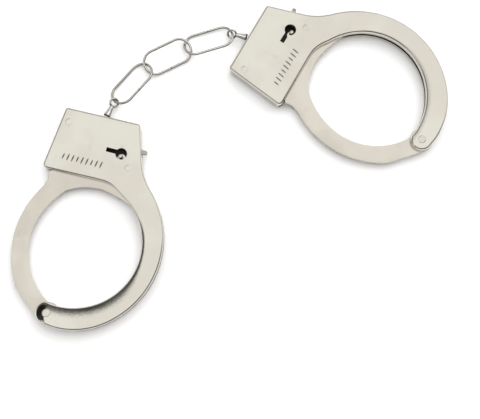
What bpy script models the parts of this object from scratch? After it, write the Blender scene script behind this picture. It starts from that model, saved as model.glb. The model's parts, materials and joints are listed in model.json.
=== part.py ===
"""A pair of nickel-plated steel handcuffs, swing-through type, joined by a three-link chain.

Lengths below are millimetres in each cuff's own frame: X right, Y towards the chain, Z up from the
back plate. mm turns them into metres. Angles are degrees.
"""

import math

import bmesh
import bpy
from mathutils import Matrix, Vector

mm = 0.001

# Where the two cuffs lie, as they rest on a table (mm, degrees)
cuff_places = {"left": (-71.09, -42.27, -10.5), "right": (70.17, 39.07, 62.73)}

# Sheet metal
cuff_depth = 8.4
sheet = 0.8
bend_radius = 1.1
skirt_gap = 0.3

# The two stamped plates
bow_centre = (-8.4, 4.2)
bow_radius = 45.4
bow_top_angle = 42.1
neck_radius = 30.3
neck_end_angle = 193.0
opening_centre = (-6.3, 2.7)
opening_half_sizes = (33.0, 32.0)
pivot = (-12.5, -33.6)
pivot_end_radius = 5.4
housing_top_left = (-24.0, 68.1)
housing_top_right = (13.9, 66.2)
housing_low_left = (-29.7, 36.2)
housing_low_right = (-3.0, 34.95)

# The swinging arm and its teeth
arm_thickness = 1.8
arm_slot_height = 2.4
tooth_radius = 72.5
tooth_depth = 1.2
tooth_pitch = 2.0
tooth_count = 20
first_tooth_angle = 98.0
band_inner_radius = 66.0
arm_end_radius = 5.8
slot_radius = 72.9

# Lock work
lock_rivet = (12.3, 43.2)
corner_rivet = (-21.1, 60.9)
key_post = (7.3, 48.7)
keyhole = (7.7, 49.7)
keyhole_radius = 2.9
keyway = (3.7, 50.4)
keyway_size = (7.4, 2.2, 3.2)
nub_height = 53.0
running_gap = 0.1
rivet_hole_gap = 0.2
pivot_rivet_radius = 1.5
lock_rivet_radius = 1.3

# Swivels and chain
swivel_x = -4.3
swivel_y = 66.75
swivel_length = 9.0
swivel_leans = {"left": 72.5, "right": 104.0}
swivel_rolls = {"left": 32.0, "right": -34.0}
shank_radius = 1.15
swivel_wire = 0.55
eye_radius = 2.1
link_length = 25.2
link_width = 11.9
link_wire = 0.62
chain_crossings = [(-42.34, 51.45, 2.95), (-22.19, 61.5, 2.9)]
link_overruns = [(0.0, 1.3), (1.6, 1.2), (1.6, 0.2)]
link_rolls = [-24.0, 16.0, -21.0]

colours = {
    "plate": ((0.72, 0.70, 0.64), 0.24),
    "back": ((0.70, 0.68, 0.63), 0.28),
    "arm": ((0.69, 0.65, 0.60), 0.26),
    "rivet": ((0.75, 0.73, 0.69), 0.2),
    "spacer": ((0.55, 0.54, 0.52), 0.35),
    "lever": ((0.60, 0.59, 0.56), 0.3),
    "spring": ((0.42, 0.42, 0.43), 0.3),
    "post": ((0.74, 0.72, 0.68), 0.2),
    "chain": ((0.73, 0.71, 0.68), 0.18),
}


def clear_scene():
    for old in list(bpy.data.objects):
        bpy.data.objects.remove(old, do_unlink=True)


def new_collection(name):
    collection = bpy.data.collections.new(name)
    bpy.context.scene.collection.children.link(collection)
    return collection


def metal(name, kind):
    colour, roughness = colours[kind]
    material = bpy.data.materials.new(name)
    material.use_nodes = True
    shader = material.node_tree.nodes["Principled BSDF"]
    shader.inputs["Base Color"].default_value = (*colour, 1.0)
    shader.inputs["Metallic"].default_value = 1.0
    shader.inputs["Roughness"].default_value = roughness
    return material


def arc(centre, radius, start, end, steps):
    """Points along an arc, both ends included; the angle may run either way."""
    points = []
    for step in range(steps + 1):
        angle = math.radians(start + (end - start) * step / steps)
        points.append((centre[0] + radius * math.cos(angle), centre[1] + radius * math.sin(angle)))
    return points


def oval(centre, half_sizes, start, end, steps):
    points = arc((0, 0), 1.0, start, end, steps)
    return [(centre[0] + half_sizes[0] * x, centre[1] + half_sizes[1] * y) for x, y in points]


def corner(before, at, after, radius, steps=4):
    """Points of a rounded corner between two straight edges."""
    here = Vector(at)
    back = (Vector(before) - here).normalized()
    ahead = (Vector(after) - here).normalized()
    half = back.angle(ahead) / 2
    centre = here + (back + ahead).normalized() * radius / math.sin(half)
    first = here + back * radius / math.tan(half)
    last = here + ahead * radius / math.tan(half)
    start = math.atan2(first.y - centre.y, first.x - centre.x)
    sweep = math.atan2(last.y - centre.y, last.x - centre.x) - start
    sweep = (sweep + math.pi) % (2 * math.pi) - math.pi
    ends = math.degrees(start), math.degrees(start + sweep)
    return arc(centre, radius, *ends, steps)


def shifted(points, origin):
    return [(x - origin[0], y - origin[1]) for x, y in points]


def plate_outline():
    """Outline of a stamped plate, anticlockwise from its top left corner."""
    reach = bow_radius + neck_radius
    turn = math.radians(bow_top_angle)
    neck_centre = (
        bow_centre[0] + reach * math.cos(turn),
        bow_centre[1] + reach * math.sin(turn),
    )
    neck = arc(neck_centre, neck_radius, 180 + bow_top_angle, neck_end_angle, 5)
    points = corner(neck[-1], housing_top_right, housing_top_left, 1.2, 3)
    points += corner(housing_top_right, housing_top_left, housing_low_left, 1.2, 3)
    points += corner(housing_top_left, housing_low_left, housing_low_right, 2.2, 4)
    points += [(0.0, 34.75), (3.6, 34.2), (7.4, 32.7)]
    points += oval(opening_centre, opening_half_sizes, 57.0, -98.0, 24)
    points += arc(pivot, pivot_end_radius, 97.0, 262.0, 8)
    lower_radius = 37.5
    turn = math.radians(-60.0)
    lower_centre = (
        bow_centre[0] + (bow_radius - lower_radius) * math.cos(turn),
        bow_centre[1] + (bow_radius - lower_radius) * math.sin(turn),
    )
    points += arc(lower_centre, lower_radius, -97.0, -64.0, 4)
    points += arc(bow_centre, bow_radius, -60.0, bow_top_angle - 4.0, 13)
    points += neck
    return points


def open_tray(name, z_face, z_edge):
    """A shallow stamped tray: its face at z_face, its skirt reaching z_edge, the inside left open."""
    mesh = bpy.data.meshes.new(name)
    work = bmesh.new()
    rim = [work.verts.new((x * mm, y * mm, z_face * mm)) for x, y in plate_outline()]
    face = work.faces.new(rim)
    if (face.normal.z > 0) != (z_face > z_edge):
        face.normal_flip()
    edges = list(face.edges)
    skirt = bmesh.ops.extrude_edge_only(work, edges=edges)["geom"]
    moved = [item for item in skirt if isinstance(item, bmesh.types.BMVert)]
    bmesh.ops.translate(work, verts=moved, vec=(0, 0, (z_edge - z_face) * mm))
    bmesh.ops.recalc_face_normals(work, faces=list(work.faces))
    work.normal_update()
    top = max(work.faces, key=lambda each: len(each.verts))
    if (top.normal.z > 0) != (z_face > z_edge):
        bmesh.ops.reverse_faces(work, faces=list(work.faces))
    work.to_mesh(mesh)
    work.free()
    tray = bpy.data.objects.new(name, mesh)
    bend = tray.modifiers.new("Bend", "BEVEL")
    bend.width = bend_radius * mm
    bend.segments = 2
    bend.limit_method = "ANGLE"
    bend.angle_limit = math.radians(60)
    wall = tray.modifiers.new("Sheet", "SOLIDIFY")
    wall.thickness = sheet * mm
    wall.offset = -1
    wall.use_even_offset = True
    return tray


def flat_plate(name, outline, low, high, origin=(0.0, 0.0)):
    """A flat piece cut to an outline, between two heights; origin is its own zero point."""
    curve = bpy.data.curves.new(name, "CURVE")
    curve.dimensions = "2D"
    curve.fill_mode = "BOTH"
    spline = curve.splines.new("POLY")
    points = shifted(outline, origin)
    spline.points.add(len(points) - 1)
    for target, (x, y) in zip(spline.points, points):
        target.co = (x * mm, y * mm, 0, 1)
    spline.use_cyclic_u = True
    curve.extrude = (high - low) / 2 * mm
    source = bpy.data.objects.new(name + "_outline", curve)
    plate = mesh_from(source, name)
    plate.data.transform(Matrix.Translation((0, 0, (high + low) / 2 * mm)))
    return plate


def mesh_from(source, name):
    """The evaluated mesh of a curve object, its caps welded; the curve is removed."""
    bpy.context.scene.collection.objects.link(source)
    bpy.context.view_layer.update()
    graph = bpy.context.evaluated_depsgraph_get()
    mesh = bpy.data.meshes.new_from_object(source.evaluated_get(graph))
    made = bpy.data.objects.new(name, mesh)
    made.matrix_world = source.matrix_world.copy()
    bpy.data.objects.remove(source, do_unlink=True)
    work = bmesh.new()
    work.from_mesh(mesh)
    bmesh.ops.remove_doubles(work, verts=list(work.verts), dist=1e-6)
    bmesh.ops.recalc_face_normals(work, faces=list(work.faces))
    work.to_mesh(mesh)
    work.free()
    mesh.name = name
    return made


def wire(name, points, radius, closed=False, resolution=2):
    """A round wire through the points."""
    curve = bpy.data.curves.new(name, "CURVE")
    curve.dimensions = "3D"
    curve.bevel_depth = radius * mm
    curve.bevel_resolution = resolution
    curve.use_fill_caps = not closed
    spline = curve.splines.new("POLY")
    spline.points.add(len(points) - 1)
    for target, point in zip(spline.points, points):
        target.co = (point[0] * mm, point[1] * mm, point[2] * mm, 1)
    spline.use_cyclic_u = closed
    source = bpy.data.objects.new(name + "_path", curve)
    made = mesh_from(source, name)
    made.data.shade_smooth()
    made.data.set_sharp_from_angle(angle=math.radians(50))
    return made


def turned(name, profile, steps=20):
    """A solid of revolution about Z from (radius, z) pairs, outer side listed from top to bottom."""
    mesh = bpy.data.meshes.new(name)
    work = bmesh.new()
    verts = [work.verts.new((radius * mm, 0, z * mm)) for radius, z in profile]
    for first, second in zip(verts, verts[1:]):
        work.edges.new((first, second))
    if profile[0][0] > 0:
        work.edges.new((verts[-1], verts[0]))
    work.to_mesh(mesh)
    work.free()
    made = bpy.data.objects.new(name, mesh)
    screw = made.modifiers.new("Turn", "SCREW")
    screw.steps = steps
    screw.render_steps = steps
    screw.use_merge_vertices = True
    screw.merge_threshold = 0.00001
    return made


def rod_cutter(name, place, radius, low, high, segments=24):
    mesh = bpy.data.meshes.new(name)
    work = bmesh.new()
    bmesh.ops.create_cone(
        work,
        cap_ends=True,
        segments=segments,
        radius1=radius * mm,
        radius2=radius * mm,
        depth=(high - low) * mm,
    )
    middle = (place[0] * mm, place[1] * mm, (low + high) / 2 * mm)
    bmesh.ops.translate(work, verts=list(work.verts), vec=middle)
    work.to_mesh(mesh)
    work.free()
    return hidden_cutter(bpy.data.objects.new(name, mesh))


def box_cutter(name, centre, size, turn=0.0):
    mesh = bpy.data.meshes.new(name)
    work = bmesh.new()
    bmesh.ops.create_cube(work, size=1.0)
    bmesh.ops.scale(work, vec=Vector(size) * mm, verts=list(work.verts))
    place = Matrix.Translation(Vector(centre) * mm) @ Matrix.Rotation(math.radians(turn), 4, "Z")
    bmesh.ops.transform(work, matrix=place, verts=list(work.verts))
    work.to_mesh(mesh)
    work.free()
    return hidden_cutter(bpy.data.objects.new(name, mesh))


def hidden_cutter(cutter):
    cutters.objects.link(cutter)
    cutter.hide_render = True
    cutter.display_type = "WIRE"
    return cutter


def cut(target, cutter):
    boolean = target.modifiers.new(cutter.name, "BOOLEAN")
    boolean.operation = "DIFFERENCE"
    boolean.solver = "EXACT"
    boolean.object = cutter


def make_cutters():
    """The shared cutters, in the cuff's own frame at the world origin."""
    half_slot = arm_slot_height / 2
    middle = cuff_depth / 2
    swivel_hole = rod_cutter("cut_swivel_hole", (0, 0), shank_radius + 0.38, -2.5, 2.5)
    turn = Matrix.Rotation(math.radians(90), 4, "X")
    swivel_hole.data.transform(Matrix.Translation(Vector((swivel_x, swivel_y, middle)) * mm) @ turn)
    hole_radius = lock_rivet_radius + rivet_hole_gap
    pivot_hole_radius = pivot_rivet_radius + rivet_hole_gap
    return {
        "slot": rod_cutter(
            "cut_arm_slot", pivot, slot_radius, middle - half_slot, middle + half_slot, 160
        ),
        "pivot": rod_cutter("cut_pivot_hole", pivot, pivot_hole_radius, -1, cuff_depth + 1, 20),
        "lock": rod_cutter("cut_lock_rivet", lock_rivet, hole_radius, -1, cuff_depth + 1, 20),
        "corner": rod_cutter("cut_corner_rivet", corner_rivet, hole_radius, -1, cuff_depth + 1, 20),
        "keyhole": rod_cutter("cut_keyhole", keyhole, keyhole_radius, cuff_depth - 2, cuff_depth + 1, 28),
        "keyway": box_cutter("cut_keyway", (*keyway, cuff_depth - 0.5), keyway_size, -4.0),
        "nub": box_cutter("cut_nub_slot", (17.4, nub_height - 0.5, middle), (5.0, 4.2, 2.4)),
        "swivel": swivel_hole,
    }


def joined_keyhole(tools):
    """One outline for the keyhole: the round end with its bit slot."""
    union = tools["keyhole"].modifiers.new("Bit", "BOOLEAN")
    union.operation = "UNION"
    union.solver = "EXACT"
    union.object = tools["keyway"]


def cuff_plate(name, z_face, z_edge, tools, keyed):
    tray = open_tray(name, z_face, z_edge)
    for tool in ("slot", "pivot", "lock", "corner", "nub", "swivel"):
        cut(tray, tools[tool])
    if keyed:
        cut(tray, tools["keyhole"])
    return tray


def arm_outline():
    """Outline of the swinging arm, from its round end up the outer edge, over the teeth and back."""
    points = arc(pivot, arm_end_radius, 70.0, -146.0, 14)
    points += arc((9.95, -0.4), 46.6, 211.0, 143.5, 14)
    points += [(-26.2, 30.6), (-25.9, 32.5), (-26.2, 35.4)]
    for tooth in range(tooth_count):
        angle = first_tooth_angle - tooth * tooth_pitch
        points += arc(pivot, tooth_radius - tooth_depth, angle + 0.25, angle, 1)[:1]
        points += arc(pivot, tooth_radius, angle, angle - 0.3, 1)
    last_angle = first_tooth_angle - tooth_count * tooth_pitch
    points += arc(pivot, tooth_radius - 0.3, last_angle, last_angle - 4.0, 2)
    points += arc(pivot, tooth_radius - 2.2, last_angle - 7.5, last_angle - 9.5, 1)
    points += arc(pivot, band_inner_radius + 1.0, last_angle - 10.8, last_angle - 10.0, 1)
    points += arc(pivot, band_inner_radius, last_angle - 8.5, 77.5, 8)
    points += [(-1.2, 31.05), (-5.8, 30.75), (-11.2, 29.6)]
    points += arc((11.3, -1.95), 40.0, 133.0, 165.0, 6)[:-1]
    points += arc((5.1, -0.3), 33.6, 165.0, 236.0, 12)
    return points


def swinging_arm(name):
    low = (cuff_depth - arm_thickness) / 2
    arm = flat_plate(name, arm_outline(), low, low + arm_thickness, pivot)
    hole = rod_cutter(name + "_hole_cut", (0, 0), pivot_rivet_radius + running_gap, low - 1, low + 3, 24)
    cut(arm, hole)
    return arm, hole


def rivet(name, radius, crown):
    """A rivet from the back face to just above the front face, its two ends slightly crowned."""
    top = cuff_depth + crown
    return turned(
        name,
        [(0, top), (radius * 0.7, top - 0.05), (radius, top - 0.22), (radius, 0.12),
         (radius * 0.8, 0), (0, 0)],
        20,
    )


def ring(name, inner, outer, low, high, steps=20):
    return turned(name, [(outer, high), (outer, low), (inner, low), (inner, high)], steps)


def key_pin(name):
    """The solid post that a hollow key turns on, with a foot on the back plate."""
    floor = sheet + 0.2
    top = cuff_depth - 1.0
    return turned(
        name,
        [(0, top), (0.85, top), (1.05, top - 0.15), (1.05, floor + 0.8),
         (2.1, floor + 0.8), (2.1, floor), (0, floor)],
        20,
    )


def lever_outline():
    """Pawl lever: boss on its rivet, toothed nose over the arm, tail out to the release nub."""
    points = [(9.6, 40.7), (6.2, 39.9)]
    nose = 73.4
    for step in range(4):
        angle = 81.0 + step * tooth_pitch
        points += arc(pivot, nose, angle, angle + 0.4, 1)
        points += arc(pivot, nose + 0.8, angle + 0.8, angle + 1.0, 1)[:1]
    points += arc(pivot, nose, 89.0, 91.5, 2)
    points += [(-14.0, 41.2), (-11.5, 42.3), (-2.0, 42.9), (7.4, 44.6)]
    points += arc(lock_rivet, 3.3, 145.0, 120.0, 2)
    points += [(11.0, 49.0), (11.4, 52.6), (12.6, 54.0)]
    points += [(19.2, 54.0), (19.8, 53.5), (19.8, 52.5), (19.2, 52.0), (14.6, 52.0), (14.2, 49.0)]
    points += arc(lock_rivet, 3.3, 50.0, -120.0, 8)
    return points


def pawl_lever(name):
    low = (cuff_depth - arm_thickness) / 2
    lever = flat_plate(name, lever_outline(), low, low + arm_thickness, lock_rivet)
    hole = rod_cutter(name + "_hole_cut", (0, 0), lock_rivet_radius + running_gap, low - 1, low + 3, 20)
    cut(lever, hole)
    return lever, hole


def torsion_spring(name):
    """Coil round the lever's rivet, one leg over the nose, the other up to the housing's top wall."""
    coil_radius = 2.2
    turns = 2.25
    steps = 24
    pitch = 0.62
    start_z = cuff_depth / 2 + 1.55
    points = [(-14.5, 0.6, start_z), (-6.0, 1.6, start_z)]
    for step in range(steps + 1):
        angle = math.radians(90.0 - 360.0 * turns * step / steps)
        height = start_z + pitch * turns * step / steps
        points.append((coil_radius * math.cos(angle), coil_radius * math.sin(angle), height))
    end = points[-1]
    points += [(end[0] + 0.2, 6.0, end[2]), (-4.6, 20.0, end[2])]
    return wire(name, points, 0.28, resolution=1)


def swivel_eye(name):
    """Swivel: a flared shank with a head inside the housing, and a ring eye on its end, along Y."""
    pin = turned(
        name,
        [(0, 7.4), (0.75, 7.2), (0.85, 6.2), (0.95, 4.6), (1.5, 1.35), (1.5, 1.1), (shank_radius, 1.05),
         (shank_radius, -1.5), (1.9, -1.6), (1.9, -2.3), (1.4, -2.6), (0, -2.6)],
        18,
    )
    lay_down = Matrix.Rotation(math.radians(-90), 4, "X")
    pin.data.transform(lay_down)
    pin.modifiers["Turn"].axis = "Y"
    eye = wire(name + "_ring", [(x, y, 0) for x, y in arc((0, swivel_length), eye_radius, 0, 342, 19)],
               swivel_wire, closed=True)
    hidden_cutter(eye)
    join = pin.modifiers.new("Eye", "BOOLEAN")
    join.operation = "UNION"
    join.solver = "EXACT"
    join.object = eye
    return pin, eye


def chain_link(name):
    """Oval link of round wire, its long axis along X, measured to the middle of the wire."""
    radius = link_width / 2
    half = link_length / 2 - radius
    points = arc((half, 0), radius, -90, 90, 12) + arc((-half, 0), radius, 90, 270, 12)
    return wire(name, [(x, y, 0) for x, y in points], link_wire, closed=True)


def add_part(piece, kind, parent=None, place=(0, 0, 0)):
    """Links a finished piece to the object's collection, gives it its metal and puts it in place."""
    parts.objects.link(piece)
    piece.data.materials.clear()
    piece.data.materials.append(metal(piece.name + "_metal", kind))
    piece.parent = parent
    piece.location = Vector(place) * mm
    return piece


def follow(cutter, piece):
    """A cutter that moves with the piece it cuts."""
    cutter.parent = piece


def frame_empty(name, place, matrix=None):
    empty = bpy.data.objects.new(name, None)
    empty.empty_display_size = 0.01
    parts.objects.link(empty)
    empty.location = Vector(place) * mm
    if matrix is not None:
        empty.rotation_euler = matrix.to_euler()
    return empty


def build_cuff(side):
    x, y, turn = cuff_places[side]
    cuff = frame_empty(side + "_cuff", (x, y, 0), Matrix.Rotation(math.radians(turn), 3, "Z"))
    middle = cuff_depth / 2
    edge = skirt_gap / 2

    tools = make_cutters()
    joined_keyhole(tools)
    for cutter in tools.values():
        cutter.parent = cuff
    front = cuff_plate(side + "_front_plate", cuff_depth, middle + edge, tools, True)
    back = cuff_plate(side + "_back_plate", 0.0, middle - edge, tools, False)
    add_part(front, "plate", cuff)
    add_part(back, "back", cuff)

    arm, hole = swinging_arm(side + "_arm")
    add_part(arm, "arm", cuff, (*pivot, 0))
    follow(hole, arm)
    add_part(rivet(side + "_pivot_rivet", pivot_rivet_radius, 0.1), "rivet", cuff, (*pivot, 0))
    top = middle + arm_thickness / 2 + 0.25
    low = middle - arm_thickness / 2 - 0.25
    inside = sheet + 0.25
    spacer = ring(side + "_pivot_spacer_front", 1.75, 3.6, top, cuff_depth - inside)
    add_part(spacer, "spacer", cuff, (*pivot, 0))
    spacer = ring(side + "_pivot_spacer_back", 1.75, 3.6, inside, low)
    add_part(spacer, "spacer", cuff, (*pivot, 0))

    add_part(rivet(side + "_corner_rivet", lock_rivet_radius, 0.08), "rivet", cuff, (*corner_rivet, 0))
    add_part(rivet(side + "_lock_rivet", lock_rivet_radius, 0.08), "rivet", cuff, (*lock_rivet, 0))
    spacer = ring(side + "_lock_spacer", 1.55, 2.6, inside, low)
    add_part(spacer, "spacer", cuff, (*lock_rivet, 0))
    lever, hole = pawl_lever(side + "_pawl_lever")
    add_part(lever, "lever", cuff, (*lock_rivet, 0))
    follow(hole, lever)
    add_part(torsion_spring(side + "_pawl_spring"), "spring", cuff, (*lock_rivet, 0))
    add_part(key_pin(side + "_key_post"), "post", cuff, (*key_post, 0))

    pin, ring_of_pin = swivel_eye(side + "_swivel")
    add_part(pin, "chain", cuff, (swivel_x, swivel_y, middle))
    leaning = Matrix.Rotation(math.radians(swivel_leans[side] - 90.0), 3, "Z")
    rolled = Matrix.Rotation(math.radians(swivel_rolls[side]), 3, "Y")
    pin.rotation_euler = (leaning @ rolled).to_euler()
    follow(ring_of_pin, pin)


def eye_centre(side):
    """Middle of a swivel's eye, as the cuff lies."""
    x, y, turn = cuff_places[side]
    lean = math.radians(swivel_leans[side])
    local = Vector((swivel_x + swivel_length * math.cos(lean), swivel_y + swivel_length * math.sin(lean), 0))
    return Matrix.Rotation(math.radians(turn), 3, "Z") @ local + Vector((x, y, cuff_depth / 2))


def build_chain():
    stops = [eye_centre("left"), *map(Vector, chain_crossings), eye_centre("right")]
    for number, (first, last) in enumerate(zip(stops, stops[1:])):
        before, after = link_overruns[number]
        along = (last - first).normalized()
        middle = (first + last) / 2 + along * (after - before) / 2
        across = Vector((0, 0, 1)).cross(along).normalized()
        up = along.cross(across)
        turn = Matrix((along, across, up)).transposed()
        roll = Matrix.Rotation(math.radians(link_rolls[number]), 3, "X")
        link = add_part(chain_link(f"link_{number + 1}"), "chain", None, middle)
        link.rotation_euler = (turn @ roll).to_euler()


clear_scene()
parts = new_collection("handcuffs")
cutters = new_collection("handcuffs_cutters")
for side_name in cuff_places:
    build_cuff(side_name)
build_chain()
bpy.context.view_layer.update()
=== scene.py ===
import json
import math
import bpy
from mathutils import Matrix, Vector


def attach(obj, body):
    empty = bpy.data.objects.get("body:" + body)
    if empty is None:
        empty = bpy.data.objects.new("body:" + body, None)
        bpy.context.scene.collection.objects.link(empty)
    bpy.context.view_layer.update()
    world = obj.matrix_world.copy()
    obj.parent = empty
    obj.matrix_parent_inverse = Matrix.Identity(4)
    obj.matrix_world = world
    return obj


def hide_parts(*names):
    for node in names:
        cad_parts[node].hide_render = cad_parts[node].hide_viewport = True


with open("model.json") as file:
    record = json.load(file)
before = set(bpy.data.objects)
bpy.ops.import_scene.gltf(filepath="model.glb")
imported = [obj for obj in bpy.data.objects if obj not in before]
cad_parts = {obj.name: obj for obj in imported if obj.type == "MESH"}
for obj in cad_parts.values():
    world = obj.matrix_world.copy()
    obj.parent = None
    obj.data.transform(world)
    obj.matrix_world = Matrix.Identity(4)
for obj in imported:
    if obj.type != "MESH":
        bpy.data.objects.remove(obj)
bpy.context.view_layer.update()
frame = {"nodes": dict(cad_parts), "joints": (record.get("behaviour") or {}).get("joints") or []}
mm = 0.001

# Two stamped shells make each cuff: lengths in mm, angles in degrees, in the cuff's own frame
shell = {
    "depth": 8.4,
    "sheet": 0.8,
    "bendRadius": 1.1,
    "bendSegments": 6,
    "seamGap": 0.3,
    "bowCentre": (-8.4, 4.2),
    "bowRadius": 45.4,
    "bowTopAngle": 42.1,
    "neckRadius": 30.3,
    "neckEndAngle": 193.0,
    "openingCentre": (-6.3, 2.7),
    "openingHalfSizes": (33.0, 32.0),
    "pivot": (-12.5, -33.6),
    "pivotEndRadius": 5.4,
    "swivelSeat": (-4.3, 66.75),
    "topLeft": (-24.0, 68.1),
    "topRight": (13.9, 66.2),
    "lowLeft": (-29.7, 36.2),
    "lowRight": (-3.0, 34.95),
    "slotRadius": 72.9,
    "slotHeight": 2.4,
    "keyhole": (7.7, 49.7),
    "keyholeRadius": 2.9,
    "keyway": (3.7, 50.4),
    "keywaySize": (7.4, 2.2),
    "stampStart": (-20.2, 43.4),
    "stampStep": 2.4,
    "stampTurn": -3.0,
    "stampCount": 9,
    "stampLean": -14.0,
    "stampSizes": (0.38, 1.9, 0.46),
    "shortStamp": 1.5,
    "stampLift": 0.08,
}

# The swinging arm with its ratchet teeth
arm = {
    "thickness": 1.8,
    "edgeRound": 0.16,
    "endRadius": 5.8,
    "toothRadius": 72.5,
    "toothDepth": 1.2,
    "toothPitch": 2.0,
    "toothCount": 20,
    "firstTooth": 98.0,
    "bandInner": 66.0,
    "holeRadius": 1.6,
}

# Rivets, key post and the pawl lever
lock = {
    "cornerRivet": (-21.1, 60.9),
    "lockRivet": (12.3, 43.2),
    "keyPost": (7.3, 48.7),
    "leverHole": 1.4,
    "edgeRound": 0.15,
}

# Swivels and the three-link chain
chain = {
    "footGap": (1.1, 1.75),
    "eyeReach": 9.0,
    "eyeRadius": 2.1,
    "eyeWire": 0.55,
    "rolls": {"left": 32.0, "right": -34.0},
    "linkLength": 25.2,
    "linkWidth": 11.9,
    "linkWire": 0.62,
    "overruns": [(0.0, 1.3), (1.6, 1.2), (1.6, 0.2)],
    "linkRolls": [-24.0, 16.0, -21.0],
    "jointSides": [-1, -1, 1],
    "jointGap": 0.42,
}


# Modelling helpers

def startFresh():
    if bpy.context.mode != "OBJECT":
        bpy.ops.object.mode_set(mode="OBJECT")
    bpy.ops.object.select_all(action="DESELECT")


def pick(piece):
    startFresh()
    piece.select_set(True)
    bpy.context.view_layer.objects.active = piece


def named(name):
    piece = bpy.context.object
    piece.name = name
    piece.data.name = name
    return piece


def applyModifier(piece, kind, **settings):
    pick(piece)
    modifier = piece.modifiers.new(kind.title(), kind)
    for key, value in settings.items():
        setattr(modifier, key, value)
    bpy.ops.object.modifier_apply(modifier=modifier.name)


def cutWith(piece, cutter, operation="DIFFERENCE", materials="INDEX"):
    # with TRANSFER the cut faces take the cutter's own material
    applyModifier(piece, "BOOLEAN", operation=operation, solver="EXACT", object=cutter,
                  material_mode=materials)


def scrap(piece):
    mesh = piece.data
    bpy.data.objects.remove(piece, do_unlink=True)
    bpy.data.meshes.remove(mesh)


def arcPoints(centre, radius, start, end, steps):
    points = []
    for step in range(steps + 1):
        angle = math.radians(start + (end - start) * step / steps)
        points.append((centre[0] + radius * math.cos(angle), centre[1] + radius * math.sin(angle)))
    return points


def ovalPoints(centre, halfSizes, start, end, steps):
    circle = arcPoints((0, 0), 1.0, start, end, steps)
    return [(centre[0] + halfSizes[0] * x, centre[1] + halfSizes[1] * y) for x, y in circle]


def cornerPoints(before, at, after, radius, steps):
    here = Vector(at)
    back = (Vector(before) - here).normalized()
    ahead = (Vector(after) - here).normalized()
    half = back.angle(ahead) / 2
    centre = here + (back + ahead).normalized() * radius / math.sin(half)
    first = here + back * radius / math.tan(half)
    last = here + ahead * radius / math.tan(half)
    start = math.atan2(first.y - centre.y, first.x - centre.x)
    sweep = math.atan2(last.y - centre.y, last.x - centre.x) - start
    sweep = (sweep + math.pi) % (2 * math.pi) - math.pi
    return arcPoints(centre, radius, math.degrees(start), math.degrees(start + sweep), steps)


def softened(points, rounds=2):
    # rounds off a short run of listed points, keeping its two ends
    for _ in range(rounds):
        smoother = [points[0]]
        for (ax, ay), (bx, by) in zip(points, points[1:]):
            smoother.append((ax * 0.75 + bx * 0.25, ay * 0.75 + by * 0.25))
            smoother.append((ax * 0.25 + bx * 0.75, ay * 0.25 + by * 0.75))
        smoother.append(points[-1])
        points = smoother
    return points


def blank(name, outline, height):
    # a filled circle whose rim is drawn out to the outline
    startFresh()
    bpy.ops.mesh.primitive_circle_add(vertices=len(outline), radius=30 * mm, fill_type="NGON")
    piece = named(name)
    for vertex, (x, y) in zip(piece.data.vertices, outline):
        vertex.co = (x * mm, y * mm, height * mm)
    piece.data.update()
    return piece


def solidFrom(name, outline, low, high, edgeRound, segments=3):
    piece = blank(name, outline, low)
    bpy.ops.object.mode_set(mode="EDIT")
    bpy.ops.mesh.select_all(action="SELECT")
    bpy.ops.mesh.extrude_region_move(TRANSFORM_OT_translate={"value": (0, 0, (high - low) * mm)})
    bpy.ops.mesh.select_all(action="SELECT")
    bpy.ops.mesh.normals_make_consistent(inside=False)
    bpy.ops.object.mode_set(mode="OBJECT")
    if edgeRound:
        applyModifier(piece, "BEVEL", width=edgeRound * mm, segments=segments,
                      limit_method="ANGLE", angle_limit=math.radians(50))
    return piece


def turned(name, profile, sides=48):
    # a disc drawn up step by step: each step is an extrude, then a resize about the axis
    startFresh()
    radius, height = profile[0]
    bpy.ops.mesh.primitive_circle_add(
        vertices=sides, radius=radius * mm, fill_type="NGON", location=(0, 0, height * mm))
    piece = named(name)
    bpy.ops.object.transform_apply(location=True, rotation=False, scale=False)
    bpy.ops.object.mode_set(mode="EDIT")
    bpy.ops.mesh.select_mode(type="FACE")
    bpy.ops.mesh.select_all(action="SELECT")
    for nextRadius, nextHeight in profile[1:]:
        rise = (nextHeight - height) * mm
        bpy.ops.mesh.extrude_region_move(TRANSFORM_OT_translate={"value": (0, 0, rise)})
        spread = nextRadius / radius
        bpy.ops.transform.resize(value=(spread, spread, 1), center_override=(0, 0, 0))
        radius, height = nextRadius, nextHeight
    bpy.ops.mesh.select_all(action="SELECT")
    bpy.ops.mesh.remove_doubles(threshold=0.000002)
    bpy.ops.mesh.normals_make_consistent(inside=False)
    bpy.ops.object.mode_set(mode="OBJECT")
    return piece


def rod(name, place, radius, low, high, sides=48):
    startFresh()
    middle = (place[0] * mm, place[1] * mm, (low + high) / 2 * mm)
    bpy.ops.mesh.primitive_cylinder_add(
        vertices=sides, radius=radius * mm, depth=(high - low) * mm, location=middle)
    return named(name)


def box(name, centre, size, turn=0.0):
    startFresh()
    bpy.ops.mesh.primitive_cube_add(size=1, location=Vector(centre) * mm,
                                    rotation=(0, 0, math.radians(turn)))
    piece = named(name)
    piece.scale = Vector(size) * mm
    bpy.ops.object.transform_apply(location=True, rotation=True, scale=True)
    return piece


def smoothed(piece, angle=35.0):
    pick(piece)
    bpy.ops.object.shade_smooth_by_angle(angle=math.radians(angle))
    applyModifier(piece, "WEIGHTED_NORMAL", mode="FACE_AREA", weight=80, keep_sharp=True)
    return piece


# Where the cuffs and the chain lie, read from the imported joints

joints = {joint["name"]: joint for joint in frame["joints"]}


def jointPoint(name):
    return Vector(joints[name]["pos_m"])


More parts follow.
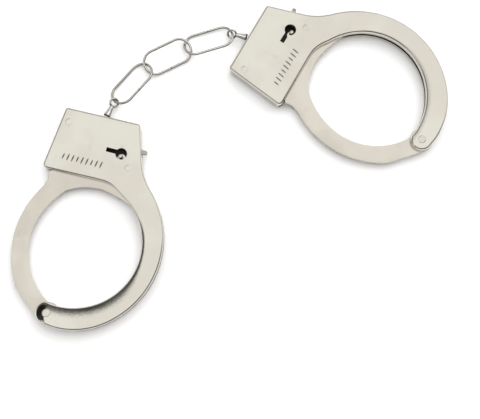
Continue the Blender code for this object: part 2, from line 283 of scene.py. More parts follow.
def cuffPlace(side):
    hinge = jointPoint(side + "_arm_hinge")
    seat = jointPoint(side + "_swivel_turn")
    localHinge = Vector(shell["pivot"]) * mm
    localSeat = Vector(shell["swivelSeat"]) * mm
    reach = (seat - hinge).xy
    localReach = localSeat - localHinge
    turn = math.atan2(reach.y, reach.x) - math.atan2(localReach.y, localReach.x)
    return (Matrix.Translation((hinge.x, hinge.y, 0)) @ Matrix.Rotation(turn, 4, "Z")
            @ Matrix.Translation((-localHinge.x, -localHinge.y, 0)))


places = {side: cuffPlace(side) for side in ("left", "right")}


# Metals: patterns are laid out in millimetres

plateFinish = {
    "pale": (0.665, 0.648, 0.580),
    "warm": (0.625, 0.594, 0.530),
    "roughness": (0.14, 0.21),
    "peel": 2.2,
    "wave": 24.0,
    "scratch": 0.35,
}
armFinish = {
    "pale": (0.640, 0.612, 0.540),
    "warm": (0.570, 0.528, 0.468),
    "roughness": (0.15, 0.22),
    "peel": 2.4,
    "wave": 26.0,
    "scratch": 0.4,
}
smallFinish = {
    "pale": (0.665, 0.645, 0.590),
    "warm": (0.625, 0.595, 0.540),
    "roughness": (0.17, 0.26),
    "peel": 2.0,
    "wave": 4.0,
    "scratch": 0.4,
}
swivelFinish = {
    "pale": (0.900, 0.880, 0.850),
    "warm": (0.820, 0.790, 0.750),
    "roughness": (0.10, 0.18),
    "peel": 2.0,
    "wave": 4.0,
    "scratch": 0.4,
    # strength of the painted shade on the sides
    "paintedSideShade": 0.85,
}
chainFinish = {
    "pale": (0.800, 0.775, 0.735),
    "warm": (0.640, 0.610, 0.560),
    "roughness": (0.08, 0.15),
    "peel": 2.0,
    "wave": 5.0,
    "scratch": 0.4,
    # strength of the painted shade on the sides
    "paintedSideShade": 0.92,
}
steelFinish = {
    "pale": (0.46, 0.44, 0.41),
    "warm": (0.36, 0.34, 0.31),
    "roughness": (0.30, 0.45),
    "peel": 4.0,
    "wave": 6.0,
    "scratch": 0.8,
}
# painted reflection: near-black colour laid on the rolled inner edge and round the pivot end
paintedReflectionColour = (0.022, 0.020, 0.017)
# painted shade: dark colour for the sides of round wires and turned pieces
paintedSideShade = (0.05, 0.045, 0.04)
# painted shade: a near-black finish for the shells' inner faces, the swivel's foot gap and the links' butt
# joints
paintedShadeFinish = {
    "pale": (0.10, 0.095, 0.088),
    "warm": (0.06, 0.056, 0.05),
    "roughness": (0.45, 0.62),
    "peel": 6.0,
    "wave": 6.0,
    "scratch": 0.4,
}


class NodeDesk:
    # lays out and joins the nodes of one material

    def __init__(self, name):
        self.material = bpy.data.materials.new(name)
        self.material.use_nodes = True
        self.tree = self.material.node_tree
        self.shader = self.tree.nodes["Principled BSDF"]

    def node(self, kind, label, **settings):
        made = self.tree.nodes.new(kind)
        made.label = label
        for key, value in settings.items():
            setattr(made, key, value)
        return made

    def join(self, out, into):
        self.tree.links.new(out, into)

    def feed(self, socket, value):
        if isinstance(value, bpy.types.NodeSocket):
            self.join(value, socket)
        else:
            socket.default_value = value

    def calc(self, operation, first, second=0.0):
        made = self.node("ShaderNodeMath", operation.lower(), operation=operation)
        self.feed(made.inputs[0], first)
        self.feed(made.inputs[1], second)
        return made.outputs[0]

    def ranged(self, value, low, high, toLow=0.0, toHigh=1.0, label="range"):
        made = self.node("ShaderNodeMapRange", label, interpolation_type="SMOOTHSTEP")
        self.feed(made.inputs["Value"], value)
        made.inputs["From Min"].default_value = low
        made.inputs["From Max"].default_value = high
        made.inputs["To Min"].default_value = toLow
        made.inputs["To Max"].default_value = toHigh
        return made.outputs["Result"]

    def noise(self, vector, scale, detail=2.0, roughness=0.5, label="noise"):
        made = self.node("ShaderNodeTexNoise", label)
        self.join(vector, made.inputs["Vector"])
        made.inputs["Scale"].default_value = scale
        made.inputs["Detail"].default_value = detail
        made.inputs["Roughness"].default_value = roughness
        return made.outputs["Fac"]

    def mixed(self, factor, first, second, label="mix"):
        made = self.node("ShaderNodeMix", label, data_type="RGBA")
        self.feed(made.inputs["Factor"], factor)
        self.feed(made.inputs["A"], (*first, 1.0) if isinstance(first, tuple) else first)
        self.feed(made.inputs["B"], (*second, 1.0) if isinstance(second, tuple) else second)
        return made.outputs["Result"]

    def bump(self, height, distance, under=None, label="bump"):
        made = self.node("ShaderNodeBump", label)
        made.inputs["Strength"].default_value = 1.0
        made.inputs["Distance"].default_value = distance
        self.join(height, made.inputs["Height"])
        if under is not None:
            self.join(under, made.inputs["Normal"])
        return made.outputs["Normal"]


def inCuffFrame(desk, side):
    # mm coordinates that turn and start with one cuff
    coords = desk.node("ShaderNodeTexCoord", "place")
    mapping = desk.node("ShaderNodeMapping", "cuff frame in mm")
    inverse = places[side].inverted() if side else Matrix.Identity(4)
    mapping.inputs["Scale"].default_value = (1 / mm, 1 / mm, 1 / mm)
    mapping.inputs["Rotation"].default_value = (0, 0, inverse.to_euler().z)
    mapping.inputs["Location"].default_value = inverse.translation / mm
    desk.join(coords.outputs["Object"], mapping.inputs["Vector"])
    return mapping.outputs["Vector"]


def stretchedTo(desk, vector, turn, scale):
    made = desk.node("ShaderNodeMapping", "stretched")
    made.inputs["Rotation"].default_value = (0, 0, math.radians(turn))
    made.inputs["Scale"].default_value = scale
    desk.join(vector, made.inputs["Vector"])
    return made.outputs["Vector"]


def scratchMask(desk, vector, turn, length, width):
    lines = desk.noise(stretchedTo(desk, vector, turn, (length, width, 1.0)), 1.0, 1.5, 0.4, "scratch lines")
    offset = desk.calc("ABSOLUTE", desk.calc("SUBTRACT", lines, 0.5))
    line = desk.ranged(offset, 0.0, 0.006, 1.0, 0.0, "thin line")
    patch = desk.ranged(desk.noise(vector, 0.09, 2.0, 0.5, "where"), 0.5, 0.62)
    return desk.calc("MULTIPLY", line, patch)


def paintedSideShadeMask(desk, amount):
    # round wires and turned pieces keep their shine on top; painted shade darkens them towards their sides,
    # standing in for dark reflections there
    facing = desk.node("ShaderNodeSeparateXYZ", "facing")
    desk.join(desk.node("ShaderNodeTexCoord", "own facing").outputs["Normal"], facing.inputs[0])
    return desk.ranged(desk.calc("ABSOLUTE", facing.outputs["Z"]), 0.9, 0.4, 0.0, amount, "towards the side")


# How far each front shell's face rolls over at its inner edge (mm, degrees), and how strong the painted dark
# reflection is along it and round the pivot end
edgeRoll = {
    "left": {"width": 6.2, "tilt": 17.0, "endTilt": 12.0, "paintedReflection": 0.86, "endPaintedReflection": 0.985},
    "right": {"width": 2.5, "tilt": 4.0, "endTilt": 3.0, "paintedReflection": 0.3, "endPaintedReflection": 0.0},
}


def rolledEdge(desk, vector, side):
    # the bow's face rolls over towards the wrist opening and round the pivot end, in mm of height
    parts = desk.node("ShaderNodeSeparateXYZ", "x y z")
    desk.join(vector, parts.inputs[0])
    x, y = parts.outputs["X"], parts.outputs["Y"]
    (cx, cy), (rx, ry) = shell["openingCentre"], shell["openingHalfSizes"]
    px, py = shell["pivot"]
    across = desk.calc("DIVIDE", desk.calc("SUBTRACT", x, cx), rx)
    along = desk.calc("DIVIDE", desk.calc("SUBTRACT", y, cy), ry)
    square = desk.calc("ADD", desk.calc("MULTIPLY", across, across), desk.calc("MULTIPLY", along, along))
    distance = desk.calc("MULTIPLY", desk.calc("SUBTRACT", desk.calc("SQRT", square), 1.0), (rx + ry) / 2)
    low = desk.ranged(y, 2.0, -26.0, 0.22, 1.0, "wider below")
    width = desk.calc("MULTIPLY", low, edgeRoll[side]["width"])
    beyond = desk.calc("SUBTRACT", distance, shell["bendRadius"] * 0.8)
    inward = desk.calc("MAXIMUM", desk.calc("SUBTRACT", 1.0, desk.calc("DIVIDE", beyond, width)), 0.0)
    drop = desk.calc("MULTIPLY", desk.calc("MULTIPLY", inward, inward), width)
    onBow = desk.ranged(y, 22.0, 12.0, 0.0, 1.0, "bow only")
    slope = math.tan(math.radians(edgeRoll[side]["tilt"])) / 2
    bowDrop = desk.calc("MULTIPLY", desk.calc("MULTIPLY", drop, onBow), -slope)
    dx = desk.calc("SUBTRACT", x, px)
    dy = desk.calc("SUBTRACT", y, py)
    radius = desk.calc("SQRT", desk.calc("ADD", desk.calc("MULTIPLY", dx, dx), desk.calc("MULTIPLY", dy, dy)))
    outward = desk.calc("MAXIMUM", desk.calc("SUBTRACT", radius, 1.9), 0.0)
    endSide = desk.ranged(dx, 0.4, -1.6, 0.0, 1.0, "beyond the rivet")
    nearEnd = desk.ranged(radius, 8.0, 6.0, 0.0, 1.0, "pivot end only")
    endDrop = desk.calc("MULTIPLY", desk.calc("MULTIPLY", outward, endSide), nearEnd)
    endSlope = math.tan(math.radians(edgeRoll[side]["endTilt"]))
    height = desk.calc("ADD", bowDrop, desk.calc("MULTIPLY", endDrop, -endSlope))
    # painted dark reflection in the same two places, with a mottled edge
    mottle = desk.ranged(desk.noise(vector, 1.7, 4.0, 0.6, "mottle"), 0.25, 0.75, -0.15, 0.15)
    paintedRollReflection = desk.ranged(desk.calc("ADD", inward, mottle), 0.2, 1.12, 0.0, edgeRoll[side]["paintedReflection"])
    rim = desk.ranged(distance, 0.25, 0.6)
    paintedBowReflection = desk.calc("MULTIPLY", desk.calc("MULTIPLY", paintedRollReflection, onBow), rim)
    ring = desk.calc("MULTIPLY", desk.ranged(radius, 1.9, 2.2), desk.ranged(radius, 4.9, 4.5))
    leftHalf = desk.ranged(dx, -0.3, -0.9)
    band = desk.calc("MULTIPLY", leftHalf, desk.ranged(desk.calc("ABSOLUTE", dy), 4.1, 3.6))
    paintedPivotReflection = desk.calc("MULTIPLY", desk.calc("MULTIPLY", ring, band), edgeRoll[side]["endPaintedReflection"])
    return height, desk.calc("MAXIMUM", paintedBowReflection, paintedPivotReflection)


def nickel(name, finish, side=None, rolled=False):
    desk = NodeDesk(name)
    vector = inCuffFrame(desk, side)
    clouds = desk.noise(vector, 0.035, 3.0, 0.5, "broad tint")
    tint = desk.mixed(desk.ranged(clouds, 0.38, 0.62), finish["pale"], finish["warm"], "tint")
    stains = desk.ranged(desk.noise(vector, 0.16, 5.0, 0.6, "stains"), 0.6, 0.78, 0.0, 0.35)
    stained = desk.mixed(stains, tint, tuple(value * 0.86 for value in finish["warm"]), "faint stains")
    specks = desk.ranged(desk.noise(vector, 2.6, 2.0, 0.5, "pits"), 0.735, 0.77, 0.0, 0.5)
    colour = desk.mixed(specks, stained, tuple(value * 0.45 for value in finish["warm"]), "pits")
    # painted shade on the sides of round pieces
    if "paintedSideShade" in finish:
        colour = desk.mixed(paintedSideShadeMask(desk, finish["paintedSideShade"]), colour, paintedSideShade, "painted side shade")
    normal = None
    if rolled:
        height, paintedReflection = rolledEdge(desk, vector, side)
        normal = desk.bump(height, mm, None, "rolled edge")
        # painted reflection: the rolled edge and the pivot end are darkened in the base colour
        colour = desk.mixed(paintedReflection, colour, paintedReflectionColour, "paintedReflection")
    desk.join(colour, desk.shader.inputs["Base Color"])
    desk.shader.inputs["Metallic"].default_value = 1.0
    smudges = desk.noise(vector, 0.42, 5.0, 0.62, "handling smudges")
    low, high = finish["roughness"]
    roughness = desk.ranged(smudges, 0.32, 0.72, low, high, "satin")
    fine = desk.calc("MAXIMUM", scratchMask(desk, vector, 24.0, 0.05, 2.1),
                     scratchMask(desk, vector, -52.0, 0.06, 1.6))
    scuffed = desk.calc("MULTIPLY_ADD", fine, finish["scratch"] * 0.16)
    desk.join(roughness, scuffed.node.inputs[2])
    desk.join(scuffed, desk.shader.inputs["Roughness"])
    wave = desk.noise(vector, 0.075, 1.0, 0.4, "pressing waves")
    normal = desk.bump(wave, finish["wave"] * 1e-6, normal, "waves")
    peel = desk.noise(vector, 0.95, 3.0, 0.55, "plating peel")
    normal = desk.bump(peel, finish["peel"] * 1e-6, normal, "peel")
    normal = desk.bump(fine, -finish["scratch"] * 2e-6, normal, "scratches")
    desk.join(normal, desk.shader.inputs["Normal"])
    return desk.material


metals = {
    "leftPlate": nickel("leftPlateNickel", plateFinish, "left", rolled=True),
    "rightPlate": nickel("rightPlateNickel", plateFinish, "right", rolled=True),
    "leftBack": nickel("leftBackNickel", plateFinish, "left"),
    "rightBack": nickel("rightBackNickel", plateFinish, "right"),
    "arm": nickel("armNickel", armFinish),
    "rivet": nickel("rivetNickel", smallFinish),
    "swivel": nickel("swivelNickel", swivelFinish),
    "chain": nickel("chainNickel", chainFinish),
    "steel": nickel("plainSteel", steelFinish),
    "inside": nickel("shellInsidePaintedShade", paintedShadeFinish),
}
print("metals ready")


# Stamped shells

def shellOutline():
    s = shell
    reach = s["bowRadius"] + s["neckRadius"]
    turn = math.radians(s["bowTopAngle"])
    neckCentre = (s["bowCentre"][0] + reach * math.cos(turn), s["bowCentre"][1] + reach * math.sin(turn))
    neck = arcPoints(neckCentre, s["neckRadius"], 180 + s["bowTopAngle"], s["neckEndAngle"], 20)
    points = cornerPoints(neck[-1], s["topRight"], s["topLeft"], 1.2, 8)
    points += cornerPoints(s["topRight"], s["topLeft"], s["lowLeft"], 1.2, 8)
    points += cornerPoints(s["topLeft"], s["lowLeft"], s["lowRight"], 2.2, 10)
    curveOut = ovalPoints(s["openingCentre"], s["openingHalfSizes"], 57.0, -98.0, 110)
    points += softened([(-6.0, 35.1), (0.0, 34.8), (4.0, 34.3), (8.0, 32.5), curveOut[0]], 2)[:-1]
    points += curveOut
    points += arcPoints(s["pivot"], s["pivotEndRadius"], 97.0, 262.0, 32)
    lowerRadius = 37.5
    turn = math.radians(-60.0)
    lowerCentre = (s["bowCentre"][0] + (s["bowRadius"] - lowerRadius) * math.cos(turn),
                   s["bowCentre"][1] + (s["bowRadius"] - lowerRadius) * math.sin(turn))
    points += arcPoints(lowerCentre, lowerRadius, -97.0, -64.0, 16)
    points += arcPoints(s["bowCentre"], s["bowRadius"], -60.0, s["bowTopAngle"] - 2.0, 60)
    points += neck
    return points


def stampedShell(name, faceHeight, edgeHeight):
    piece = blank(name, shellOutline(), faceHeight)
    bpy.ops.object.mode_set(mode="EDIT")
    bpy.ops.mesh.select_all(action="SELECT")
    bpy.ops.mesh.extrude_edges_move(TRANSFORM_OT_translate={"value": (0, 0, (edgeHeight - faceHeight) * mm)})
    bpy.ops.mesh.select_all(action="SELECT")
    bpy.ops.mesh.normals_make_consistent(inside=False)
    bpy.ops.object.mode_set(mode="OBJECT")
    face = max(piece.data.polygons, key=lambda each: each.loop_total)
    if (face.normal.z > 0) != (faceHeight > edgeHeight):
        bpy.ops.object.mode_set(mode="EDIT")
        bpy.ops.mesh.flip_normals()
        bpy.ops.object.mode_set(mode="OBJECT")
    piece.data.materials.append(metals["leftPlate"])
    # painted shade: the shell's inner faces take the dark inside finish
    piece.data.materials.append(metals["inside"])
    applyModifier(piece, "BEVEL", width=shell["bendRadius"] * mm, segments=shell["bendSegments"],
                  limit_method="ANGLE", angle_limit=math.radians(60))
    applyModifier(piece, "SOLIDIFY", thickness=shell["sheet"] * mm, offset=-1, use_even_offset=True,
                  material_offset=1, material_offset_rim=0)
    return piece


def shellCutters():
    middle = shell["depth"] / 2
    half = shell["slotHeight"] / 2
    top = shell["depth"]
    seat = rod("swivelHoleCutter", (0, 0), 1.53, -2.5, 2.5)
    seat.rotation_euler = (math.radians(90), 0, 0)
    seat.location = Vector((*shell["swivelSeat"], middle)) * mm
    bpy.ops.object.transform_apply(location=True, rotation=True, scale=True)
    cutters = {
        "slot": rod("armSlotCutter", shell["pivot"], shell["slotRadius"], middle - half, middle + half, 360),
        "pivot": rod("pivotHoleCutter", shell["pivot"], 1.7, -1, top + 1),
        "corner": rod("cornerHoleCutter", lock["cornerRivet"], 1.5, -1, top + 1),
        "lock": rod("lockHoleCutter", lock["lockRivet"], 1.5, -1, top + 1),
        "nub": box("nubSlotCutter", (17.4, 52.5, middle), (5.0, 4.2, 2.4)),
        "seat": seat,
    }
    keyhole = rod("keyholeCutter", shell["keyhole"], shell["keyholeRadius"], top - 2, top + 1, 64)
    keyway = box("keywayCutter", (*shell["keyway"], top - 0.5), (*shell["keywaySize"], 3.2), -4.0)
    cutWith(keyhole, keyway, "UNION")
    scrap(keyway)
    return cutters, keyhole


def stampCutters():
    # a plain row of slanted strokes, pressed about 0.4 mm deep
    cutters = []
    x, y = shell["stampStart"]
    slant = math.radians(shell["stampTurn"])
    width, length, depth = shell["stampSizes"]
    for number in range(shell["stampCount"]):
        startFresh()
        along = shell["stampStep"] * number
        top = shell["depth"] + shell["stampLift"]
        place = (x + along * math.cos(slant), y + along * math.sin(slant), top)
        bpy.ops.mesh.primitive_uv_sphere_add(
            segments=24, ring_count=16, radius=mm, location=Vector(place) * mm,
            rotation=(0, 0, math.radians(shell["stampLean"])))
        stroke = named(f"stampStroke{number}")
        stroke.scale = (width, length if number % 3 else shell["shortStamp"], depth)
        bpy.ops.object.transform_apply(location=True, rotation=True, scale=True)
        cutters.append(stroke)
    return cutters


def buildShells():
    cutters, keyhole = shellCutters()
    middle = shell["depth"] / 2
    edge = shell["seamGap"] / 2
    front = stampedShell("frontShell", shell["depth"], middle + edge)
    back = stampedShell("backShell", 0.0, middle - edge)
    for cutter in cutters.values():
        cutter.data.materials.append(metals["leftPlate"])
        cutWith(front, cutter)
        cutWith(back, cutter)
        scrap(cutter)
    keyhole.data.materials.append(metals["leftPlate"])
    cutWith(front, keyhole)
    scrap(keyhole)
    for stroke in stampCutters():
        # painted shade: each stroke's pressed faces take the darker plain steel
        stroke.data.materials.append(metals["steel"])
        cutWith(front, stroke, materials="TRANSFER")
        scrap(stroke)
    return smoothed(front, 32.0), smoothed(back, 32.0)


# Swinging arm and pawl lever

def armOutline():
    pivot = shell["pivot"]
    a = arm
    points = arcPoints(pivot, a["endRadius"], 70.0, -146.0, 48)
    points += arcPoints((9.95, -0.4), 46.6, 211.0, 143.5, 60)
    points += softened([(-27.5, 27.3), (-26.2, 30.6), (-25.9, 32.5), (-26.2, 35.4)], 2)[1:]
    for tooth in range(a["toothCount"]):
        angle = a["firstTooth"] - tooth * a["toothPitch"]
        points += arcPoints(pivot, a["toothRadius"] - a["toothDepth"], angle + 0.25, angle, 1)[:1]
        points += arcPoints(pivot, a["toothRadius"], angle, angle - 0.3, 1)
    last = a["firstTooth"] - a["toothCount"] * a["toothPitch"]
    points += arcPoints(pivot, a["toothRadius"] - 0.3, last, last - 4.0, 4)
    points += arcPoints(pivot, a["toothRadius"] - 2.2, last - 7.5, last - 9.5, 2)
    points += arcPoints(pivot, a["bandInner"] + 1.0, last - 10.8, last - 10.0, 2)
    points += arcPoints(pivot, a["bandInner"], last - 8.5, 77.5, 40)
    inner = arcPoints((11.3, -1.95), 40.0, 133.0, 165.0, 24)
    points += softened([(1.8, 30.9), (-1.2, 31.05), (-5.8, 30.75), (-11.2, 29.6), inner[0]], 2)[1:-1]
    points += inner[:-1]
    points += arcPoints((5.1, -0.3), 33.6, 165.0, 236.0, 64)
    return points


def buildArm():
    middle = shell["depth"] / 2
    half = arm["thickness"] / 2
    piece = solidFrom("swingArm", armOutline(), middle - half, middle + half, arm["edgeRound"])
    piece.data.materials.append(metals["arm"])
    hole = rod("armHoleCutter", shell["pivot"], arm["holeRadius"], 0, shell["depth"])
    hole.data.materials.append(metals["arm"])
    cutWith(piece, hole)
    scrap(hole)
    return smoothed(piece, 40.0)


def leverOutline():
    pivot = shell["pivot"]
    points = [(9.6, 40.7), (6.2, 39.9)]
    nose = 73.4
    for step in range(4):
        angle = 81.0 + step * arm["toothPitch"]
        points += arcPoints(pivot, nose, angle, angle + 0.4, 1)
        points += arcPoints(pivot, nose + 0.8, angle + 0.8, angle + 1.0, 1)[:1]
    points += arcPoints(pivot, nose, 89.0, 91.5, 4)
    points += [(-14.0, 41.2), (-11.5, 42.3), (-2.0, 42.9), (7.4, 44.6)]
    points += arcPoints(lock["lockRivet"], 3.3, 145.0, 120.0, 6)
    points += [(11.0, 49.0), (11.4, 52.6), (12.6, 54.0)]
    points += arcPoints((19.1, 53.3), 0.7, 90.0, 0.0, 6)
    points += arcPoints((19.1, 52.7), 0.7, 0.0, -90.0, 6)
    points += [(14.6, 52.0), (14.2, 49.0)]
    points += arcPoints(lock["lockRivet"], 3.3, 50.0, -120.0, 32)
    return points


def buildLever():
    middle = shell["depth"] / 2
    half = arm["thickness"] / 2
    piece = solidFrom("releaseLever", leverOutline(), middle - half, middle + half, lock["edgeRound"])
    piece.data.materials.append(metals["steel"])
    hole = rod("leverHoleCutter", lock["lockRivet"], lock["leverHole"], 0, shell["depth"])
    hole.data.materials.append(metals["steel"])
    cutWith(piece, hole)
    scrap(hole)
    return smoothed(piece, 40.0)


# Rivets and key post

def rivetProfile(shank, head, crown):
    top = shell["depth"]
    return [
        (head * 0.55, 0.0), (head * 0.9, 0.0), (head * 0.9, 0.02), (shank, 0.03), (shank, top + 0.005),
        (head, top + 0.01), (head * 0.98, top + crown * 0.3), (head * 0.9, top + crown * 0.62),
        (head * 0.72, top + crown * 0.86), (head * 0.45, top + crown * 0.97), (head * 0.12, top + crown),
    ]


def buildRivet(name, place, shank, head, crown):
    piece = turned(name, rivetProfile(shank, head, crown), 56)
    piece.location = (place[0] * mm, place[1] * mm, 0)
    pick(piece)
    bpy.ops.object.transform_apply(location=True, rotation=False, scale=False)
    piece.data.materials.append(metals["rivet"])
    return smoothed(piece, 40.0)


def buildPost():
    floor = shell["sheet"] + 0.2
    top = shell["depth"] - 1.0
    profile = [
        (2.05, floor), (2.1, floor + 0.05), (2.1, floor + 0.75), (2.05, floor + 0.8), (1.05, floor + 0.8),
        (1.05, top - 0.4), (1.0, top - 0.22), (0.86, top - 0.1), (0.6, top - 0.03), (0.3, top),
    ]
    piece = turned("keyPost", profile, 48)
    piece.location = (lock["keyPost"][0] * mm, lock["keyPost"][1] * mm, 0)
    pick(piece)
    bpy.ops.object.transform_apply(location=True, rotation=False, scale=False)
    piece.data.materials.append(metals["rivet"])
    return smoothed(piece, 40.0)


# Swivels and chain

def buildSwivel():
    # turned along Z with its middle at the housing wall, then laid along Y
    profile = [
        (1.4, -2.6), (1.8, -2.4), (1.9, -2.25), (1.9, -1.7), (1.8, -1.6), (1.15, -1.5), (1.15, 1.05),
        (1.55, 1.1), (1.62, 1.2), (1.62, 1.7), (1.78, 1.8), (1.76, 2.0), (1.62, 2.6), (1.45, 3.4),
        (1.32, 4.2), (1.22, 5.0), (1.14, 5.8), (1.04, 6.5), (0.88, 7.0), (0.6, 7.3), (0.3, 7.4),
    ]
    piece = turned("swivel", profile, 40)
    startFresh()
    bpy.ops.mesh.primitive_torus_add(
        major_radius=chain["eyeRadius"] * mm, minor_radius=chain["eyeWire"] * mm, major_segments=72,
        minor_segments=20, location=(0, 0, chain["eyeReach"] * mm), rotation=(math.radians(90), 0, 0))
    eye = named("swivelEye")
    bpy.ops.object.transform_apply(location=True, rotation=True, scale=True)
    cutWith(piece, eye, "UNION")
    scrap(eye)
    piece.data.materials.append(metals["swivel"])
    piece.data.materials.append(metals["inside"])
    gapLow, gapHigh = chain["footGap"]
    for face in piece.data.polygons:
        face.material_index = int(gapLow * mm < face.center.z < gapHigh * mm)    # painted shadow in the gap at its foot
    piece.rotation_euler = (math.radians(-90), 0, 0)
    pick(piece)
    bpy.ops.object.transform_apply(location=True, rotation=True, scale=True)
    return smoothed(piece, 50.0)


def buildLink(number):
    # a ring pulled out to an oval, with the butt joint where its wire ends meet
    startFresh()
    radius = chain["linkWidth"] / 2
    half = chain["linkLength"] / 2 - radius
    segments = 96
    bpy.ops.mesh.primitive_torus_add(
        major_radius=radius * mm, minor_radius=chain["linkWire"] * mm, major_segments=segments,
        minor_segments=24, rotation=(0, 0, math.pi / segments))
    piece = named(f"chainLink{number}")
    bpy.ops.object.transform_apply(location=True, rotation=True, scale=True)
    for way in (1, -1):
        bpy.ops.object.mode_set(mode="EDIT")
        bpy.ops.mesh.select_mode(type="VERT")
        bpy.ops.mesh.select_all(action="DESELECT")
        bpy.ops.object.mode_set(mode="OBJECT")
        for vertex in piece.data.vertices:
            vertex.select = vertex.co.x * way > 0
        bpy.ops.object.mode_set(mode="EDIT")
        bpy.ops.transform.translate(value=(way * half * mm, 0, 0))
        bpy.ops.object.mode_set(mode="OBJECT")
    piece.data.materials.append(metals["chain"])
    side = chain["jointSides"][number - 1]
    saw = box("saw", (0.6 * side, side * (radius + 0.12), 1.4 - chain["linkWire"] * 0.4),
              (chain["jointGap"], 3.0, 2.8), 14.0)
    # painted shade: the sawn butt-joint faces take the dark inside finish
    saw.data.materials.append(metals["inside"])
    cutWith(piece, saw, materials="TRANSFER")
    scrap(saw)
    return smoothed(piece, 50.0)


# Putting pieces in place

def placed(master, name, matrix, body, nodes):
    pick(master)
    bpy.ops.object.duplicate(linked=False)
    piece = named(name)
    piece.matrix_world = matrix
    bpy.ops.object.transform_apply(location=True, rotation=True, scale=True)
    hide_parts(*nodes)
    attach(piece, body)
    return piece


front, back = buildShells()
print("shells ready")
swingArm = buildArm()
lever = buildLever()
pivotRivet = buildRivet("pivotRivet", shell["pivot"], 1.5, 1.95, 0.16)
cornerRivet = buildRivet("cornerRivet", lock["cornerRivet"], 1.3, 1.66, 0.1)
lockRivet = buildRivet("lockRivet", lock["lockRivet"], 1.3, 1.66, 0.1)
post = buildPost()
swivel = buildSwivel()
print("arm, lever, rivets, post and swivel ready")

for side, place in places.items():
    cuffBody = side + "_cuff"
    plate = placed(front, side + "FrontShell", place, cuffBody, [side + "_front_plate"])
    plate.data.materials[0] = metals[side + "Plate"]
    rear = placed(back, side + "BackShell", place, cuffBody, [side + "_back_plate"])
    rear.data.materials[0] = metals[side + "Back"]
    placed(swingArm, side + "SwingArm", place, side + "_arm", [side + "_arm"])
    placed(lever, side + "ReleaseLever", place, side + "_pawl", [side + "_pawl_lever"])
    placed(pivotRivet, side + "PivotRivet", place, cuffBody, [side + "_pivot_rivet"])
    placed(cornerRivet, side + "CornerRivet", place, cuffBody, [side + "_corner_rivet"])
    placed(lockRivet, side + "LockRivet", place, cuffBody, [side + "_lock_rivet"])
    placed(post, side + "KeyPost", place, cuffBody, [side + "_key_post"])
    seat = jointPoint(side + "_swivel_turn")
    axis = Vector(joints[side + "_swivel_turn"]["axis"])
    lean = math.atan2(axis.y, axis.x) - math.pi / 2
    roll = Matrix.Rotation(math.radians(chain["rolls"][side]), 4, "Y")
    shankPlace = Matrix.Translation(seat) @ Matrix.Rotation(lean, 4, "Z") @ roll
    placed(swivel, side + "Swivel", shankPlace, side + "_swivel", [side + "_swivel"])

stops = [jointPoint(name) for name in
         ("left_eye_to_link_1", "link_1_to_link_2", "link_2_to_link_3", "link_3_to_right_eye")]
for number, (first, last) in enumerate(zip(stops, stops[1:]), 1):
    before, after = chain["overruns"][number - 1]
    along = (last - first).normalized()
    middle = (first + last) / 2 + along * (after - before) / 2 * mm
    across = Vector((0, 0, 1)).cross(along).normalized()
    turn = Matrix((along, across, along.cross(across))).transposed().to_4x4()
    roll = Matrix.Rotation(math.radians(chain["linkRolls"][number - 1]), 4, "X")
    link = buildLink(number)
    placed(link, f"link{number}", Matrix.Translation(middle) @ turn @ roll, f"link_{number}",
           [f"link_{number}"])
    scrap(link)

for master in (front, back, swingArm, lever, pivotRivet, cornerRivet, lockRivet, post, swivel):
    scrap(master)

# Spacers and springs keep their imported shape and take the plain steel
for name, node in frame["nodes"].items():
    if "spacer" in name or "spring" in name:
        node.data.materials.clear()
        node.data.materials.append(metals["steel"])
print("cuffs and chain in place")


# Studio: a white table, a soft overhead key and a studio dome with one dark side

studio = {
    "keyPower": 26.5,
    "keySize": 2.2,
    "keyPlace": (0.25, 0.55, 1.3),
    "dome": 1.17,
    "horizon": 0.22,
    "darkPatches": [(100.0, 45.0, 18.0, 0.45), (135.0, 46.0, 18.0, 0.45), (172.0, 48.0, 20.0, 0.4),
                    (-20.0, 46.0, 19.0, 0.05), (-55.0, 46.0, 20.0, 0.05), (-90.0, 46.0, 20.0, 0.05),
                    (-122.0, 46.0, 18.0, 0.1)],
}

startFresh()
bpy.ops.mesh.primitive_plane_add(size=6, location=(0, 0, -0.00002))
table = named("whiteTable")
tableDesk = NodeDesk("whitePaper")
paper = tableDesk.node("ShaderNodeTexCoord", "place").outputs["Object"]
fibre = tableDesk.noise(paper, 60.0, 4.0, 0.6, "paper")
shade = tableDesk.mixed(fibre, (0.93, 0.93, 0.93), (0.95, 0.95, 0.95), "white paper")
tableDesk.join(shade, tableDesk.shader.inputs["Base Color"])
tableDesk.shader.inputs["Roughness"].default_value = 0.9
tableDesk.shader.inputs["Specular IOR Level"].default_value = 0.1
table.data.materials.append(tableDesk.material)

startFresh()
bpy.ops.object.light_add(type="AREA", location=studio["keyPlace"])
key = bpy.context.object
key.name = "softKey"
key.data.energy = studio["keyPower"]
key.data.size = studio["keySize"]
key.visible_glossy = False
key.rotation_euler = Vector(studio["keyPlace"]).to_track_quat("Z", "Y").to_euler()

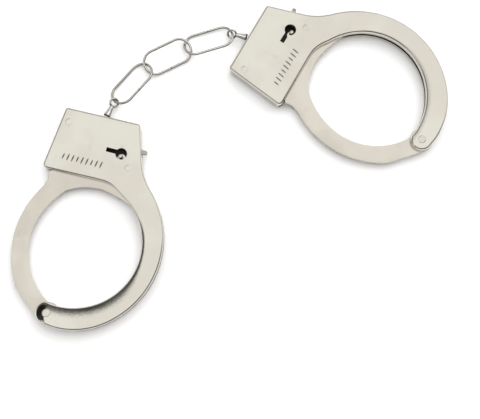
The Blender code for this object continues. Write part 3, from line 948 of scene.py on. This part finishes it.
world = bpy.data.worlds.new("studioDome")
bpy.context.scene.world = world
world.use_nodes = True


class WorldDesk(NodeDesk):
    def __init__(self, target):
        self.tree = target.node_tree


dome = WorldDesk(world)
direction = dome.node("ShaderNodeTexCoord", "direction").outputs["Generated"]
split = dome.node("ShaderNodeSeparateXYZ", "x y z")
dome.join(direction, split.inputs[0])
high = dome.ranged(split.outputs["Z"], 0.1, 0.6, studio["horizon"], studio["dome"], "dimmer at the horizon")
openness = None
for azimuth, zenith, radius, level in studio["darkPatches"]:
    a, z = math.radians(azimuth), math.radians(zenith)
    spot = dome.node("ShaderNodeVectorMath", "dark side", operation="DOT_PRODUCT")
    dome.join(direction, spot.inputs[0])
    spot.inputs[1].default_value = (math.sin(z) * math.cos(a), math.sin(z) * math.sin(a), math.cos(z))
    outer, inner = math.cos(math.radians(radius + 4)), math.cos(math.radians(radius - 4))
    clear = dome.ranged(spot.outputs["Value"], outer, inner, 1.0, level, "soft edge")
    openness = clear if openness is None else dome.calc("MULTIPLY", openness, clear)
brightness = dome.calc("MULTIPLY", high, openness)
seen = dome.node("ShaderNodeLightPath", "what looks")
plain = dome.node("ShaderNodeMix", "plain backdrop", data_type="FLOAT")
dome.join(seen.outputs["Is Camera Ray"], plain.inputs["Factor"])
dome.join(brightness, plain.inputs["A"])
plain.inputs["B"].default_value = 0.98
background = world.node_tree.nodes["Background"]
dome.join(plain.outputs["Result"], background.inputs["Strength"])
background.inputs["Color"].default_value = (1.0, 0.995, 0.985, 1.0)

bpy.context.scene.view_settings.view_transform = "Standard"
bpy.context.scene.view_settings.look = "None"

target = Vector((4.21, -22.57, 8.4)) * mm
cameraPlace = target + Vector((0.0, -68.2, 485.2)) * mm
bpy.ops.object.camera_add(location=cameraPlace)
camera = bpy.context.object
camera.name = "overheadCamera"
camera.rotation_euler = (cameraPlace - target).to_track_quat("Z", "Y").to_euler()
camera.data.lens = 75
camera.data.sensor_width = 36
camera.data.clip_start = 0.01
camera.data.clip_end = 20
bpy.context.scene.camera = camera
print("studio ready")
